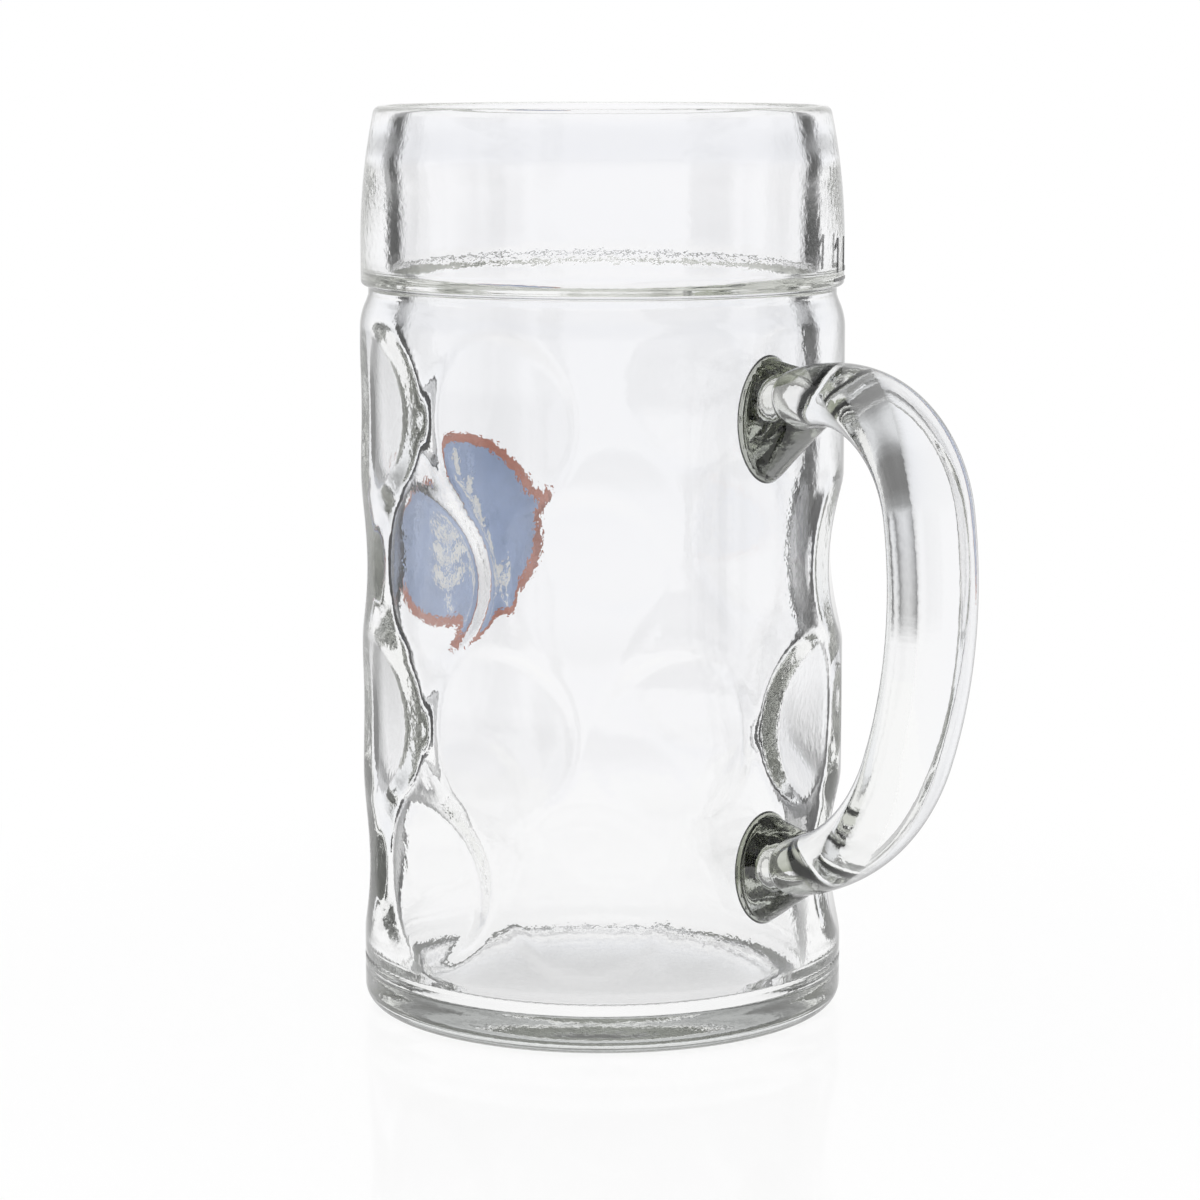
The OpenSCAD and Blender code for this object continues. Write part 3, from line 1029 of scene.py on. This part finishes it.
def enamel_print():
    """Group: fired enamel, whose colour and gloss vary a little."""
    tree = bpy.data.node_groups.get("enamel_print")
    if tree:
        return tree
    outputs = {"Colour": COLOUR, "Roughness": NUMBER, "Height": NUMBER}
    tree, wiring, given, end = new_group("enamel_print", {"Colour": COLOUR}, outputs)
    cloud = wiring.noise(180, 3)
    speck = wiring.noise(1800, 2)
    value = wiring.calculate("MULTIPLY_ADD", wiring.calculate("ADD", cloud, speck), ENAMEL_TONE, 1)
    tone = wiring.add("HueSaturation", {"Color": given["Colour"], "Value": value})
    wiring.fill(end, {
        "Colour": tone.outputs["Color"],
        "Roughness": wiring.calculate("MULTIPLY_ADD", cloud, ENAMEL_ROUGHNESS_SPREAD, ENAMEL_ROUGHNESS),
        "Height": wiring.product(speck, ENAMEL_GRAIN),
    })
    return tree


def enamel(name, colour):
    """Fired enamel of one colour."""
    material = bpy.data.materials.get(name)
    if material:
        return material
    material, wiring, shader = new_material(name)
    given = wiring.add("Group", {"Colour": (*colour, 1)}, node_tree=enamel_print()).outputs
    normal = wiring.bump(given["Height"])
    wiring.fill(shader, {"Base Color": given["Colour"], "Roughness": given["Roughness"], "Normal": normal})
    return material


# Stage

# Shades of the surround by height, from 0 straight down to 1 straight up
PANEL_SHADES = (
    (0.40, (0.98, 0.98, 0.99, 1)),
    (0.53, (0.93, 0.94, 0.97, 1)),
    (0.56, (0.90, 0.91, 0.94, 1)),
    (0.65, (0.62, 0.63, 0.64, 1)),
    (0.75, (0.36, 0.36, 0.36, 1)),
    (0.90, (0.36, 0.36, 0.36, 1)),
    (0.97, (0.75, 0.76, 0.78, 1)),
)
# Waves whose sum places the gaps round the mug: how many in a turn, size and start
GAP_WAVES = ((7, 1, 0.6), (12, 0.7, 2.1))
# Where a gap starts and where it is darkest: in the waves, from above and from below
GAP_EDGE = (-0.9, -0.45)
GAP_TOP = (0.45, 0.1)
GAP_FOOT = (-0.34, -0.2)
# The same on the way from the backdrop's line, at 1, and from the line across it, at 0
GAP_AHEAD = (0.76, 0.66)
GAP_ACROSS = (0.1, 0.3)
# Where the ceiling starts and where it is darkest, at its foot and round the light at its top
CEILING_FOOT = (0.1, 0.35)
CEILING_TOP = (0.96, 0.85)
# What a gap shows, and how dark the ceiling is beside one
GAP_SHADE = (0.02, 0.02, 0.02, 1)
CEILING_SHARE = 0.5
# Share of the table's radius from which it turns white, and at which it is white
TABLE_WHITENS = (0.45, 0.95)
TABLE_ROUGHNESS = 0.05


class MUG_OT_stage(bpy.types.Operator):
    """Sets the table, the white surround and the camera"""

    bl_idname = "mug.stage"
    bl_label = "Set the stage"

    def execute(self, context):
        studio = context.scene.mug.studio
        self.table(studio, context.scene.mug.look)
        self.surround(context.scene, studio)
        self.camera(context.scene, studio)
        context.scene.view_settings.view_transform = "Standard"
        return {"FINISHED"}

    def table(self, studio, look):
        """A glossy pale table that shows white to the camera, to mirrors and through glass."""
        deselect_all()
        radius = studio.floor_radius
        bpy.ops.mesh.primitive_circle_add(
            vertices=96, radius=radius, fill_type="NGON", location=(0, 0, -studio.floor_gap)
        )
        table = start_piece("stage_table")
        material, wiring, shader = new_material("pale_table")
        wiring.fill(shader, {"Base Color": (*look.table, 1), "Roughness": TABLE_ROUGHNESS})
        place = wiring.add("TexCoord").outputs["Object"]
        away = wiring.add("VectorMath", {0: place}, operation="LENGTH").outputs["Value"]
        far = wiring.ramp(away, *(radius * share for share in TABLE_WHITENS))
        path = wiring.add("LightPath").outputs
        seen = wiring.calculate("ADD", path["Is Camera Ray"], path["Is Glossy Ray"])
        share = wiring.product(seen, wiring.between(far, studio.table_white, 1))
        share = wiring.calculate("MAXIMUM", share, path["Is Transmission Ray"])
        white = wiring.add("Emission").outputs["Emission"]
        mix = wiring.add("MixShader", {"Fac": share, 1: shader.outputs["BSDF"], 2: white})
        wiring.fill(wiring.nodes["Material Output"], {"Surface": mix.outputs["Shader"]})
        table.data.materials.append(material)

    def panels(self, wiring, z):
        """The surround's shade at a height."""
        height = wiring.calculate("MULTIPLY_ADD", z, 0.5, 0.5)
        node = wiring.add("ValToRGB", {"Fac": height})
        stops = node.color_ramp.elements
        for stop, (place, shade) in zip(stops, (PANEL_SHADES[0], PANEL_SHADES[-1])):
            stop.position = place
            stop.color = shade
        for place, shade in PANEL_SHADES[1:-1]:
            stops.new(place).color = shade
        return node.outputs["Color"]

    def gaps(self, wiring, studio, x, y, z):
        """1 in the dark gaps between the panels."""
        turn = wiring.calculate("ARCTAN2", y, x)
        waves = 0
        for times, size, start in GAP_WAVES:
            wave = wiring.calculate("COSINE", wiring.calculate("MULTIPLY_ADD", turn, times, start))
            waves = wiring.calculate("MULTIPLY_ADD", wave, size, waves)
        ahead = wiring.calculate("COSINE", wiring.calculate("SUBTRACT", turn, studio.backdrop_turn))
        ahead = wiring.calculate("ABSOLUTE", ahead)
        level = wiring.product(wiring.ramp(z, *GAP_TOP), wiring.ramp(z, *GAP_FOOT))
        aside = wiring.product(wiring.ramp(ahead, *GAP_AHEAD), wiring.ramp(ahead, *GAP_ACROSS))
        return wiring.product(wiring.ramp(waves, *GAP_EDGE), level, aside)

    def surround(self, scene, studio):
        """White to the camera and on the mug. Glass shows white panels with dark gaps and a dark ceiling."""
        world = bpy.data.worlds.new("white_surround")
        scene.world = world
        world.use_nodes = True
        wiring = Wiring(world.node_tree)
        x, y, z = wiring.axes("TexCoord", "Generated")
        ceiling = wiring.product(wiring.ramp(z, *CEILING_FOOT), wiring.ramp(z, *CEILING_TOP), CEILING_SHARE)
        dark = wiring.calculate("MAXIMUM", self.gaps(wiring, studio, x, y, z), ceiling)
        path = wiring.add("LightPath").outputs
        reflected = wiring.calculate("GREATER_THAN", path["Glossy Depth"], 0.5)
        dark = wiring.product(dark, reflected)
        shade = wiring.colour(dark, self.panels(wiring, z), GAP_SHADE)
        unscattered = wiring.calculate("LESS_THAN", path["Diffuse Depth"], 0.5)
        through = wiring.product(path["Is Transmission Ray"], unscattered)
        wiring.fill(wiring.nodes["Background"], {"Color": wiring.colour(through, (1, 1, 1, 1), shade)})
        scene.cycles.max_bounces = studio.bounces
        scene.cycles.transmission_bounces = studio.bounces
        scene.cycles.glossy_bounces = studio.bounces
        scene.cycles.blur_glossy = 0

    def camera(self, scene, studio):
        """The photograph's viewpoint."""
        turn = studio.camera_turn
        towards = Vector((math.cos(turn), math.sin(turn), 0))
        right = Vector((-math.sin(turn), math.cos(turn), 0))
        deselect_all()
        bpy.ops.object.camera_add()
        camera = bpy.context.object
        camera.name = "studio_camera"
        camera.location = towards * studio.camera_distance - right * studio.camera_shift
        camera.location.z = studio.camera_height
        dip = studio.camera_dip
        looks = -towards * math.cos(dip) - Vector((0, 0, math.sin(dip)))
        camera.rotation_euler = looks.to_track_quat("-Z", "Y").to_euler()
        camera.data.sensor_width = 36
        camera.data.lens = studio.focal_length
        camera.data.clip_start = 0.01
        scene.camera = camera


class MUG_PT_sidebar(bpy.types.Panel):
    """Lists the pieces of the mug"""

    bl_idname = "MUG_PT_sidebar"
    bl_label = "Glass mug"
    bl_space_type = "VIEW_3D"
    bl_region_type = "UI"
    bl_category = "Mug"

    def draw(self, context):
        for operator in OPERATORS:
            self.layout.operator(operator.bl_idname)


GROUPS = (JarSizes, HollowSizes, HandleSizes, MarkSizes, MugLook, StudioSetup, MugSettings)
OPERATORS = (MUG_OT_jar, MUG_OT_bow, MUG_OT_roots, MUG_OT_badge, MUG_OT_litre_mark, MUG_OT_stage)


def register():
    for item in (*GROUPS, *OPERATORS, MUG_PT_sidebar):
        bpy.utils.register_class(item)
    bpy.types.Scene.mug = bpy.props.PointerProperty(type=MugSettings)


def unregister():
    del bpy.types.Scene.mug
    for item in reversed((*GROUPS, *OPERATORS, MUG_PT_sidebar)):
        bpy.utils.unregister_class(item)


def main():
    register()
    bpy.ops.mug.jar()
    bpy.ops.mug.bow()
    bpy.ops.mug.roots()
    bpy.ops.mug.badge()
    bpy.ops.mug.litre_mark()
    bpy.ops.mug.stage()


if __name__ == "__main__":
    main()
